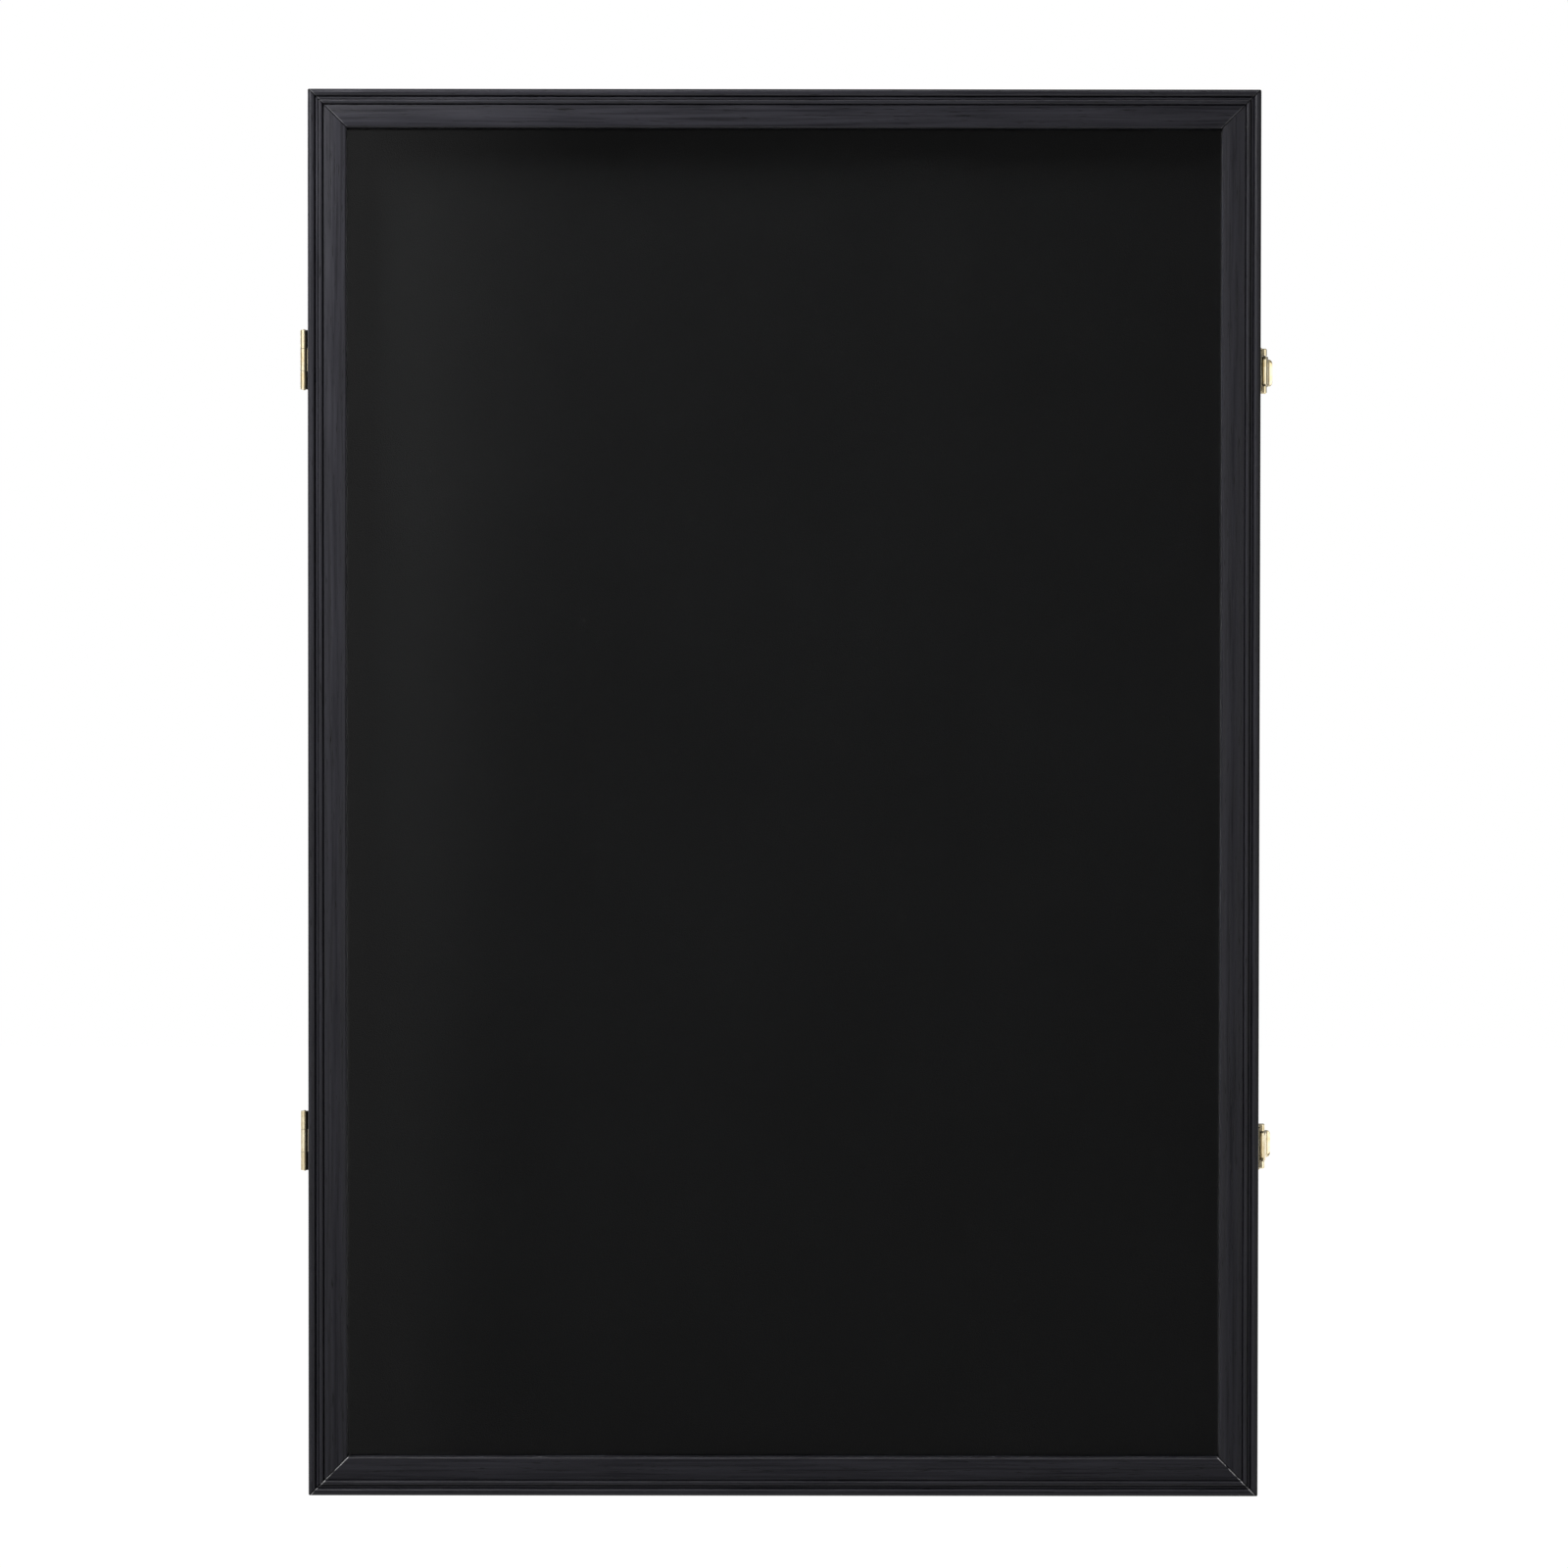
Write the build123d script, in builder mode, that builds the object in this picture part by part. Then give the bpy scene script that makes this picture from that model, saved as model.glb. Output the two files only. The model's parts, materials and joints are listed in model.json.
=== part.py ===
# Jersey display case: a wooden box that hangs on the wall, lined with felt at its
# back and closed by a glazed door on two butt hinges and two snap latches.
#
# +Z is up, +X is the latch side and -Y is the front. The origin is the centre of
# the back panel's rear face, which lies flush with the back edges of the box.

import os
from collections import namedtuple

from build123d import *

os.makedirs("parts", exist_ok=True)

# Outer size
case_width = 610.0
case_height = 902.0
box_depth = 30.0
door_depth = 18.0
joint_gap = 0.6
corner_round = 1.5

# Fits
fit = 0.05
running_gap = 0.3
seat_gap = 0.4

# Box rails, back panel and felt
box_wall = 18.0
box_arris = 0.6
panel_rebate = 9.0
panel_thickness = 4.0
felt_thickness = 1.2
panel_screw_count_across = 2
panel_screw_count_down = 3
panel_screw_end_margin = 60.0

# Moulded door rails: widths are measured inwards from the outer edge and heights from the rail's back
face_width = 24.4
glass_rebate_width = 8.0
glass_rebate_depth = 7.0
bead_width = 4.6
bead_spring = 15.6
bead_foot = 16.3
quirk_width = 0.7
quirk_height = 15.3
fillet_height = 16.3
fillet_width = 1.2
reed_quirk_width = 0.5
reed_width = 2.6
reed_spring = 17.0
reed_rise = 0.35
reed_foot = 15.7
reed_quirk_height = 15.4
face_start_height = 15.6
face_crown_height = 15.9
face_crown_place = 4.6
sight_height = 14.7
sight_arris = 0.8

# Pane and glazing strips
pane_thickness = 2.0
strip_width = 7.0
strip_setback = 1.0
strip_chamfer = 1.5
brad_count_across = 2
brad_count_down = 3
brad_end_margin = 70.0
brad_radius = 0.6
brad_length = 12.0

# V nails driven across each mitre from behind
v_nail_wing = 4.6
v_nail_thickness = 0.5
v_nail_depth = 8.0
v_nail_setback = 0.3
box_v_nail_inset = 2.4
door_v_nail_inset = 6.0

# Butt hinges
hinge_heights = {"upper": 279.0, "lower": -224.0}
hinge_length = 38.1
hinge_barrel_radius = 2.4
hinge_barrel_gap = 1.6
hinge_leaf_reach = 12.0
hinge_leaf_thickness = 1.0
hinge_middle_knuckle = 14.4
hinge_knuckle_gap = 0.2
hinge_pin_radius = 1.1
hinge_pin_head = 0.5
hinge_screw_inset = 7.0
hinge_screw_spacing = 22.0

# Snap latches: distances back are measured from the joint between door and box, out from the side face
latch_heights = {"upper": 272.0, "lower": -226.6}
latch_plate = 0.9
latch_length = 28.9
latch_lobe_length = 4.7
latch_lobe_radius = 1.65
latch_lobe_chamfer = 0.6
latch_axis_out = 3.4
latch_axis_forward = 4.5
latch_base_forward = 14.2
latch_base_round = 2.0
latch_screw_forward = 10.6
latch_screw_spacing = 17.0
latch_pin_radius = 0.75
latch_pin_recess = 0.6
lever_width = 18.7
lever_tip_width = 17.3
lever_tip_round = 2.6
lever_strap = 0.8
lever_barrel_radius = 2.0
lever_hump_out = 6.3
lever_hump_start = 0.5
lever_hump_end = 8.0
lever_waist_out = 1.7
lever_waist_back = 8.7
lever_tip_out = 10.4
lever_tip_back = 13.6
lever_bends = (3.0, 1.2, 0.8)
strike_length = 21.0
strike_front = 1.2
strike_back = 10.4
strike_bead_back = 5.3
strike_bead_radius = 2.4
strike_bead_rise = 0.5
strike_bead_length = 9.4
strike_screw_spacing = 15.0
strike_round = 1.5

# Wall hangers and bumpers
hanger_offset = 180.0
hanger_length = 46.0
hanger_height = 8.4
hanger_thickness = 0.8
hanger_stand_off = 1.4
hanger_raised_length = 30.0
hanger_ramp = 1.5
hanger_edge = 0.3
tooth_count = 11
tooth_pitch = 2.2
tooth_width = 2.0
tooth_depth = 1.5
nail_inset = 4.0
nail_radius = 0.7
nail_head_radius = 1.9
nail_head_height = 0.6
nail_length = 14.0
bumper_radius = 4.0
bumper_height = 2.2
bumper_chamfer = 0.8
bumper_offset = 30.0
bumper_edge = 0.5

# Screws: radius of the shank, radius of the 90 degree countersunk head, and length
Screw = namedtuple("Screw", "shank head length")
hinge_screw = Screw(shank=1.1, head=2.1, length=10.0)
latch_screw = Screw(shank=1.0, head=1.85, length=9.0)
panel_screw = Screw(shank=1.3, head=2.6, length=14.0)
countersink_slope = 45.0

# Shanks and heads of screws, nails and brads are drawn with few sides
shank_sides = 6
head_sides = 12

# Places worked out from the sizes
half_width = case_width / 2
half_height = case_height / 2
box_front = -box_depth
joint_y = box_front - joint_gap / 2
door_back = box_front - joint_gap
forward = Vector(0, -1, 0)
inward = {
    "top": Vector(0, 0, -1),
    "bottom": Vector(0, 0, 1),
    "left": Vector(1, 0, 0),
    "right": Vector(-1, 0, 0),
}


def save(piece, label):
    """Name a finished piece and write it."""
    piece.part.label = label
    export_step(piece.part, f"parts/{label}.step")


# Rails


def rail_length(side):
    """Length of a rail along its outer edge."""
    return case_width if side in ("top", "bottom") else case_height


def rail_plane(side, y):
    """Plane across a rail: x runs inwards from the outer edge, y to the front, z along the rail."""
    reach = half_height if side in ("top", "bottom") else half_width
    return Plane(
        origin=inward[side] * -reach + Vector(0, y, 0),
        x_dir=inward[side],
        z_dir=inward[side].cross(forward),
    )


def mitre_ends(side, y):
    """Cut both ends of the rail being built at 45 degrees, so that four rails close a frame."""
    plane = rail_plane(side, y)
    for end in (-1, 1):
        corner = plane.origin + plane.z_dir * (end * rail_length(side) / 2)
        split(bisect_by=Plane(origin=corner, z_dir=plane.x_dir + plane.z_dir * end), keep=Keep.BOTTOM)


def round_corners(depth):
    """Round the outer corners of the frame that the rail being built belongs to."""
    with BuildSketch(Plane(origin=(0, 0, 0), x_dir=(1, 0, 0), z_dir=forward)) as outline:
        RectangleRounded(case_width, case_height, corner_round)
    extrude(outline.sketch, amount=depth, mode=Mode.INTERSECT)


def v_nail_shapes(y, inset, thickness, depth, mode=Mode.ADD):
    """A V across each mitre, sunk from y towards the front: the nails themselves or their slots."""
    for across in (-1, 1):
        for up in (-1, 1):
            x = across * (half_width - inset)
            z = up * (half_height - inset)
            with BuildSketch(Plane(origin=(0, y, 0), x_dir=(1, 0, 0), z_dir=forward)) as section:
                with Locations((x, z - up * v_nail_wing / 2)):
                    Rectangle(thickness, v_nail_wing + thickness)
                with Locations((x - across * v_nail_wing / 2, z)):
                    Rectangle(v_nail_wing + thickness, thickness)
            extrude(section.sketch, amount=depth, mode=mode)


def v_nail_slots(y, inset):
    """Slots for the V nails in the rail being built."""
    v_nail_shapes(y, inset, v_nail_thickness + 2 * fit, v_nail_setback + v_nail_depth + fit, Mode.SUBTRACT)


def spread(count, length, margin):
    """Evenly spaced places along a rail, the outermost ones at the margin from its ends."""
    step = (length - 2 * margin) / (count - 1)
    return [step * place - (length / 2 - margin) for place in range(count)]


# Seats: planes on the face that a head lies flush with, z pointing out of it


def panel_screw_seats():
    """Seats on the rear face of the back panel, over the middle of the rails' ledge."""
    seats = []
    inset = box_wall - panel_rebate / 2
    for side in inward:
        count = panel_screw_count_across if side in ("top", "bottom") else panel_screw_count_down
        plane = rail_plane(side, 0)
        for place in spread(count, rail_length(side), panel_screw_end_margin):
            origin = plane.origin + plane.x_dir * inset + plane.z_dir * place
            seats.append(Plane(origin=origin, z_dir=-forward))
    return seats


def hinge_screw_seats(height, y, outward):
    """Seats of one leaf's two screws, on the leaf's face at y."""
    x = -half_width + hinge_screw_inset
    ends = (-hinge_screw_spacing / 2, hinge_screw_spacing / 2)
    return [Plane(origin=(x, y, height + end), z_dir=outward) for end in ends]


def side_screw_seats(height, y, spacing):
    """Seats of two screws one above the other, on a latch plate's outer face."""
    x = half_width + latch_plate
    ends = (-spacing / 2, spacing / 2)
    return [Plane(origin=(x, y, height + end), z_dir=(1, 0, 0)) for end in ends]


def shanks(seats, radius, length, mode=Mode.ADD):
    """Plain shanks from each seat inwards, or with Mode.SUBTRACT their holes."""
    with BuildSketch(*seats) as section:
        RegularPolygon(radius, side_count=shank_sides)
    extrude(section.sketch, amount=-length, mode=mode)


def screw_shapes(seats, screw, growth=0.0, mode=Mode.ADD):
    """A countersunk screw in each seat, or with Mode.SUBTRACT and a growth the holes for them."""
    with BuildSketch(*seats) as section:
        RegularPolygon(screw.head + growth, side_count=head_sides)
    extrude(section.sketch, amount=screw.shank - screw.head, taper=countersink_slope, mode=mode)
    shanks(seats, screw.shank + growth, screw.length + growth, mode)


def screw_holes(seats, screw):
    """Countersunk clearance holes in the part being built."""
    screw_shapes(seats, screw, fit, Mode.SUBTRACT)


def countersunk_screws(label, seats, screw):
    """One node that holds a separate countersunk screw in each seat."""
    with BuildPart() as screws:
        screw_shapes(seats, screw)
    save(screws, label)


hinge_seats_box = {
    name: hinge_screw_seats(height, box_front, forward) for name, height in hinge_heights.items()
}
hinge_seats_door = {
    name: hinge_screw_seats(height, door_back, -forward) for name, height in hinge_heights.items()
}
base_seats = {
    name: side_screw_seats(height, joint_y - latch_screw_forward, latch_screw_spacing)
    for name, height in latch_heights.items()
}
strike_seats = {
    name: side_screw_seats(height, joint_y + strike_bead_back, strike_screw_spacing)
    for name, height in latch_heights.items()
}


def hinge_mortises(y):
    """Shallow pockets in the left rail that let the hinge leaves in flush with its face."""
    for height in hinge_heights.values():
        with Locations((-half_width, y, height)):
            Box(
                2 * (hinge_leaf_reach + fit),
                2 * (hinge_leaf_thickness + fit),
                hinge_length + 2 * fit,
                mode=Mode.SUBTRACT,
            )


# Brads that hold the glazing strips


def brad_seats(side):
    """Seats on a strip's inner face, z pointing to the middle of the pane."""
    plane = rail_plane(side, door_back)
    count = brad_count_across if side in ("top", "bottom") else brad_count_down
    inset = face_width - glass_rebate_width + seat_gap + strip_width
    height = (strip_setback + glass_rebate_depth - pane_thickness) / 2
    origin = plane.origin + plane.x_dir * inset + plane.y_dir * height
    return [
        Plane(origin=origin + plane.z_dir * place, z_dir=plane.x_dir)
        for place in spread(count, rail_length(side), brad_end_margin)
    ]


def brad_holes(side):
    """Holes for the brads in the part being built."""
    shanks(brad_seats(side), brad_radius + fit, brad_length + fit, Mode.SUBTRACT)


# Sawtooth hangers on the back of the top rail, and the nails that hold their feet

hanger_places = {"left": -hanger_offset, "right": hanger_offset}
hanger_foot = (hanger_length - hanger_thickness) / 2
hanger_z = half_height - hanger_edge - hanger_height


def hanger_nail_seats():
    """Seats of the nails on the outer faces of the hangers' feet."""
    reach = hanger_length / 2 - nail_inset
    return [
        Plane(origin=(x + end, hanger_thickness, hanger_z + hanger_height / 2), z_dir=-forward)
        for x in hanger_places.values()
        for end in (-reach, reach)
    ]


# Box rails

for side in inward:
    with BuildPart() as box_rail:
        with BuildSketch(rail_plane(side, 0)):
            with BuildLine():
                Polyline(
                    (0, 0),
                    (box_wall - panel_rebate, 0),
                    (box_wall - panel_rebate, panel_thickness),
                    (box_wall, panel_thickness),
                    (box_wall, box_depth),
                    (box_arris, box_depth),
                    (0, box_depth - box_arris),
                    close=True,
                )
            make_face()
        extrude(amount=rail_length(side) / 2, both=True)
        mitre_ends(side, 0)
        round_corners(box_depth)
        v_nail_slots(0, box_v_nail_inset)
        screw_holes(panel_screw_seats(), panel_screw)
        if side == "top":
            shanks(hanger_nail_seats(), nail_radius + fit, nail_length + fit, Mode.SUBTRACT)
        if side == "left":
            hinge_mortises(box_front)
            for seats in hinge_seats_box.values():
                screw_holes(seats, hinge_screw)
        if side == "right":
            for seats in strike_seats.values():
                screw_holes(seats, latch_screw)
    save(box_rail, f"box_rail_{side}")

# Back panel and its felt

panel_inset = box_wall - panel_rebate + seat_gap
with BuildPart() as back_panel:
    Box(
        case_width - 2 * panel_inset,
        panel_thickness,
        case_height - 2 * panel_inset,
        align=(Align.CENTER, Align.MAX, Align.CENTER),
    )
    screw_holes(panel_screw_seats(), panel_screw)
save(back_panel, "back_panel")
countersunk_screws("back_panel_screws", panel_screw_seats(), panel_screw)

with BuildPart() as felt_lining:
    with Locations((0, -panel_thickness, 0)):
        Box(
            case_width - 2 * (box_wall + seat_gap),
            felt_thickness,
            case_height - 2 * (box_wall + seat_gap),
            align=(Align.CENTER, Align.MAX, Align.CENTER),
        )
save(felt_lining, "felt_lining")

# Moulded door rails

quirk_end = bead_width + quirk_width
fillet_end = quirk_end + fillet_width
reed_start = fillet_end + reed_quirk_width
reed_end = reed_start + reed_width
face_start = reed_end + quirk_width
for side in inward:
    with BuildPart() as door_rail:
        with BuildSketch(rail_plane(side, door_back)):
            with BuildLine():
                Polyline(
                    (face_width - sight_arris, sight_height),
                    (face_width, sight_height - sight_arris),
                    (face_width, glass_rebate_depth),
                    (face_width - glass_rebate_width, glass_rebate_depth),
                    (face_width - glass_rebate_width, 0),
                    (0, 0),
                    (0, bead_spring),
                )
                ThreePointArc((0, bead_spring), (bead_width / 2, door_depth), (bead_width, bead_foot))
                Polyline(
                    (bead_width, bead_foot),
                    (bead_width + quirk_width / 2, quirk_height),
                    (quirk_end, fillet_height),
                    (fillet_end, fillet_height),
                    (fillet_end + reed_quirk_width / 2, reed_quirk_height),
                    (reed_start, reed_spring),
                )
                ThreePointArc(
                    (reed_start, reed_spring),
                    (reed_start + reed_width / 3, reed_spring + reed_rise),
                    (reed_end, reed_foot),
                )
                Polyline(
                    (reed_end, reed_foot),
                    (reed_end + quirk_width / 2, quirk_height - quirk_width),
                    (face_start, face_start_height),
                )
                ThreePointArc(
                    (face_start, face_start_height),
                    (face_start + face_crown_place, face_crown_height),
                    (face_width - sight_arris, sight_height),
                )
            make_face()
        extrude(amount=rail_length(side) / 2, both=True)
        mitre_ends(side, door_back)
        round_corners(box_depth + joint_gap + door_depth)
        v_nail_slots(door_back, door_v_nail_inset)
        brad_holes(side)
        if side == "left":
            hinge_mortises(door_back)
            for seats in hinge_seats_door.values():
                screw_holes(seats, hinge_screw)
        if side == "right":
            for seats in base_seats.values():
                screw_holes(seats, latch_screw)
    save(door_rail, f"door_rail_{side}")

# Pane and the strips that hold it in the rebate

pane_inset = face_width - glass_rebate_width + seat_gap
with BuildPart() as door_pane:
    with Locations((0, door_back - glass_rebate_depth, 0)):
        Box(
            case_width - 2 * pane_inset,
            pane_thickness,
            case_height - 2 * pane_inset,
            align=(Align.CENTER, Align.MIN, Align.CENTER),
        )
save(door_pane, "door_pane")

strip_top = glass_rebate_depth - pane_thickness
for side in inward:
    with BuildPart() as glazing_strip:
        with BuildSketch(rail_plane(side, door_back)):
            with BuildLine():
                Polyline(
                    (pane_inset, strip_setback),
                    (pane_inset + strip_width - strip_chamfer, strip_setback),
                    (pane_inset + strip_width, strip_setback + strip_chamfer),
                    (pane_inset + strip_width, strip_top),
                    (pane_inset, strip_top),
                    close=True,
                )
            make_face()
        extrude(amount=rail_length(side) / 2, both=True)
        mitre_ends(side, door_back)
        brad_holes(side)
    save(glazing_strip, f"glazing_strip_{side}")

with BuildPart() as glazing_brads:
    for side in inward:
        shanks(brad_seats(side), brad_radius, brad_length)
save(glazing_brads, "glazing_brads")

# Butt hinges

hinge_axis_x = -half_width - hinge_barrel_gap - hinge_barrel_radius


def knuckle_spans(height, middle):
    """Lower and upper ends of a leaf's knuckles: the middle one, or the two outer ones."""
    half_middle = hinge_middle_knuckle / 2
    if middle:
        return [(height - half_middle, height + half_middle)]
    clear = half_middle + hinge_knuckle_gap
    return [
        (height - hinge_length / 2, height - clear),
        (height + clear, height + hinge_length / 2),
    ]


def hinge_leaf(label, height, seats, back_sign, middle):
    """A leaf let into one rail, with its rolled knuckles round the pin; back_sign is 1 on the box."""
    leaf_near = joint_y + back_sign * joint_gap / 2
    leaf_middle = leaf_near + back_sign * hinge_leaf_thickness / 2
    with BuildPart() as leaf:
        with Locations((-half_width + hinge_leaf_reach / 2, leaf_middle, height)):
            Box(hinge_leaf_reach, hinge_leaf_thickness, hinge_length)
        for low, high in knuckle_spans(height, middle):
            with BuildSketch(Plane.XY.offset(low)):
                with Locations((hinge_axis_x, joint_y)):
                    Circle(hinge_barrel_radius)
                with Locations(((hinge_axis_x - half_width) / 2, leaf_middle)):
                    Rectangle(-half_width - hinge_axis_x, hinge_leaf_thickness)
            extrude(amount=high - low)
        with Locations((hinge_axis_x, joint_y, height)):
            Cylinder(hinge_pin_radius + fit, hinge_length + fit, mode=Mode.SUBTRACT)
        screw_holes(seats, hinge_screw)
    save(leaf, label)


for name, height in hinge_heights.items():
    hinge_leaf(f"{name}_hinge_box_leaf", height, hinge_seats_box[name], 1, middle=False)
    hinge_leaf(f"{name}_hinge_door_leaf", height, hinge_seats_door[name], -1, middle=True)
    countersunk_screws(f"{name}_hinge_box_screws", hinge_seats_box[name], hinge_screw)
    countersunk_screws(f"{name}_hinge_door_screws", hinge_seats_door[name], hinge_screw)
    with BuildPart() as hinge_pin:
        with Locations((hinge_axis_x, joint_y, height)):
            Cylinder(hinge_pin_radius, hinge_length + 2 * hinge_pin_head)
        chamfer(hinge_pin.edges().filter_by(GeomType.CIRCLE), hinge_pin_head)
    save(hinge_pin, f"{name}_hinge_pin")

# Snap latches

latch_axis_x = half_width + latch_axis_out
latch_axis_y = joint_y - latch_axis_forward
lobe_back = latch_axis_forward - latch_lobe_radius
notch_forward = latch_axis_forward + lever_barrel_radius + running_gap
lever_space = latch_length - 2 * latch_lobe_length


def side_plane(height, out=0.0):
    """Plane on the right side face at the joint: x runs to the back, y up, z out of the face."""
    return Plane(origin=(half_width + out, joint_y, height), x_dir=(0, 1, 0), z_dir=(1, 0, 0))


for name, height in latch_heights.items():
    with BuildPart() as latch_base:
        with BuildSketch(side_plane(height)) as outline:
            with Locations((-(latch_base_forward + lobe_back) / 2, 0)):
                Rectangle(latch_base_forward - lobe_back, latch_length)
            fillet(outline.vertices().group_by(Axis.X)[0], latch_base_round)
            with Locations((-(notch_forward + lobe_back) / 2, 0)):
                Rectangle(notch_forward - lobe_back, lever_space, mode=Mode.SUBTRACT)
        extrude(amount=latch_plate)
        for low in (height - latch_length / 2, height + latch_length / 2 - latch_lobe_length):
            with BuildSketch(Plane.XY.offset(low)):
                with Locations((latch_axis_x, latch_axis_y)):
                    Circle(latch_lobe_radius)
                with Locations((half_width + latch_axis_out / 2, latch_axis_y)):
                    Rectangle(latch_axis_out, 2 * latch_lobe_radius)
            extrude(amount=latch_lobe_length)
        lobe_ends = latch_base.edges().filter_by(GeomType.CIRCLE).group_by(Axis.Z)
        chamfer(lobe_ends[0] + lobe_ends[-1], latch_lobe_chamfer)
        with Locations((latch_axis_x, latch_axis_y, height)):
            Cylinder(latch_pin_radius + fit, latch_length + fit, mode=Mode.SUBTRACT)
        screw_holes(base_seats[name], latch_screw)
    save(latch_base, f"{name}_latch_base")

    with BuildPart() as latch_lever:
        with BuildSketch(Plane.XY.offset(height - lever_width / 2)):
            with BuildLine():
                FilletPolyline(
                    (latch_axis_x + lever_barrel_radius - lever_strap / 2, latch_axis_y),
                    (half_width + lever_hump_out, joint_y + lever_hump_start),
                    (half_width + lever_hump_out, joint_y + lever_hump_end),
                    (half_width + lever_waist_out, joint_y + lever_waist_back),
                    (half_width + lever_tip_out, joint_y + lever_tip_back),
                    radius=lever_bends,
                )
                offset(amount=lever_strap / 2)
            make_face()
            with Locations((latch_axis_x, latch_axis_y)):
                Circle(lever_barrel_radius)
        extrude(amount=lever_width)
        with BuildSketch(side_plane(height)) as silhouette:
            with BuildLine():
                Polyline(
                    (-notch_forward, -lever_width / 2),
                    (lever_hump_end, -lever_width / 2),
                    (lever_tip_back, -lever_tip_width / 2),
                    (lever_tip_back, lever_tip_width / 2),
                    (lever_hump_end, lever_width / 2),
                    (-notch_forward, lever_width / 2),
                    close=True,
                )
            make_face()
            fillet(silhouette.vertices().group_by(Axis.X)[-1], lever_tip_round)
        extrude(amount=2 * lever_tip_out, mode=Mode.INTERSECT)
        with Locations((latch_axis_x, latch_axis_y, height)):
            Cylinder(latch_pin_radius + fit, lever_width + fit, mode=Mode.SUBTRACT)
    save(latch_lever, f"{name}_latch_lever")

    with BuildPart() as latch_pin:
        with Locations((latch_axis_x, latch_axis_y, height)):
            Cylinder(latch_pin_radius, latch_length - 2 * latch_pin_recess)
    save(latch_pin, f"{name}_latch_pin")

    with BuildPart() as latch_strike:
        with BuildSketch(side_plane(height)) as outline:
            with Locations(((strike_front + strike_back) / 2, 0)):
                RectangleRounded(strike_back - strike_front, strike_length, strike_round)
        extrude(amount=latch_plate)
        with BuildSketch(Plane.XY.offset(height - strike_bead_length / 2)):
            with Locations((half_width + latch_plate + strike_bead_rise, joint_y + strike_bead_back)):
                Circle(strike_bead_radius)
            with Locations((half_width + (latch_plate + strike_bead_rise) / 2, joint_y + strike_bead_back)):
                Rectangle(latch_plate + strike_bead_rise, 2 * strike_bead_radius)
            with Locations((half_width, joint_y + strike_bead_back)):
                Rectangle(
                    2 * strike_bead_radius,
                    4 * strike_bead_radius,
                    align=(Align.MAX, Align.CENTER),
                    mode=Mode.SUBTRACT,
                )
        extrude(amount=strike_bead_length)
        screw_holes(strike_seats[name], latch_screw)
    save(latch_strike, f"{name}_latch_strike")

    countersunk_screws(f"{name}_latch_base_screws", base_seats[name], latch_screw)
    countersunk_screws(f"{name}_latch_strike_screws", strike_seats[name], latch_screw)

# Wall hangers and their nails, and the bumpers at the foot

raised = hanger_stand_off + hanger_thickness / 2
for name, x in hanger_places.items():
    with BuildPart() as wall_hanger:
        with BuildSketch(Plane.XY.offset(hanger_z)):
            with BuildLine():
                Polyline(
                    (x - hanger_foot, hanger_thickness / 2),
                    (x - hanger_raised_length / 2 - hanger_ramp, hanger_thickness / 2),
                    (x - hanger_raised_length / 2, raised),
                    (x + hanger_raised_length / 2, raised),
                    (x + hanger_raised_length / 2 + hanger_ramp, hanger_thickness / 2),
                    (x + hanger_foot, hanger_thickness / 2),
                )
                offset(amount=hanger_thickness / 2)
            make_face()
        extrude(amount=hanger_height)
        with BuildSketch(Plane(origin=(x, 0, hanger_z), x_dir=(1, 0, 0), z_dir=forward)):
            with GridLocations(tooth_pitch, 0, tooth_count, 1):
                Polygon((-tooth_width / 2, 0), (tooth_width / 2, 0), (0, tooth_depth), align=None)
        extrude(amount=-hanger_stand_off - 2 * hanger_thickness, mode=Mode.SUBTRACT)
        shanks(hanger_nail_seats(), nail_radius + fit, nail_length, Mode.SUBTRACT)
    save(wall_hanger, f"{name}_wall_hanger")

with BuildPart() as wall_hanger_nails:
    shanks(hanger_nail_seats(), nail_radius, nail_length)
    with BuildSketch(*hanger_nail_seats()) as heads:
        RegularPolygon(nail_head_radius, side_count=head_sides)
    extrude(heads.sketch, amount=nail_head_height)
save(wall_hanger_nails, "wall_hanger_nails")

for name, x in {"left": -half_width + bumper_offset, "right": half_width - bumper_offset}.items():
    with BuildPart() as wall_bumper:
        with BuildSketch(Plane(origin=(x, 0, -half_height + bumper_edge + bumper_radius), z_dir=-forward)):
            Circle(bumper_radius)
        extrude(amount=bumper_height)
        chamfer(wall_bumper.edges().sort_by(Axis.Y)[-1], bumper_chamfer)
    save(wall_bumper, f"{name}_wall_bumper")

# V nails at the mitres

with BuildPart() as box_v_nails:
    v_nail_shapes(-v_nail_setback, box_v_nail_inset, v_nail_thickness, v_nail_depth)
save(box_v_nails, "box_v_nails")

with BuildPart() as door_v_nails:
    v_nail_shapes(door_back - v_nail_setback, door_v_nail_inset, v_nail_thickness, v_nail_depth)
save(door_v_nails, "door_v_nails")
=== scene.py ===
# %% [markdown]
# # A black jersey display case
#
# The case is a shallow wooden box that hangs on a wall. Its back is lined with black
# felt, on which a folded jersey lies in use, and a glazed door closes it with two brass
# butt hinges and two brass snap latches. Here it is empty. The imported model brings
# every solid at its real size, so this lesson is about light and finish, and about the
# few things that a solid can't hold: cloth, the recesses in the screws, the smooth
# bends of the latch levers, and the joints in the paint.
#
# The model is loaded as it is and nothing in it is moved. A new piece goes where the
# model says, in metres.

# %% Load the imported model
import json
import math

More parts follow.
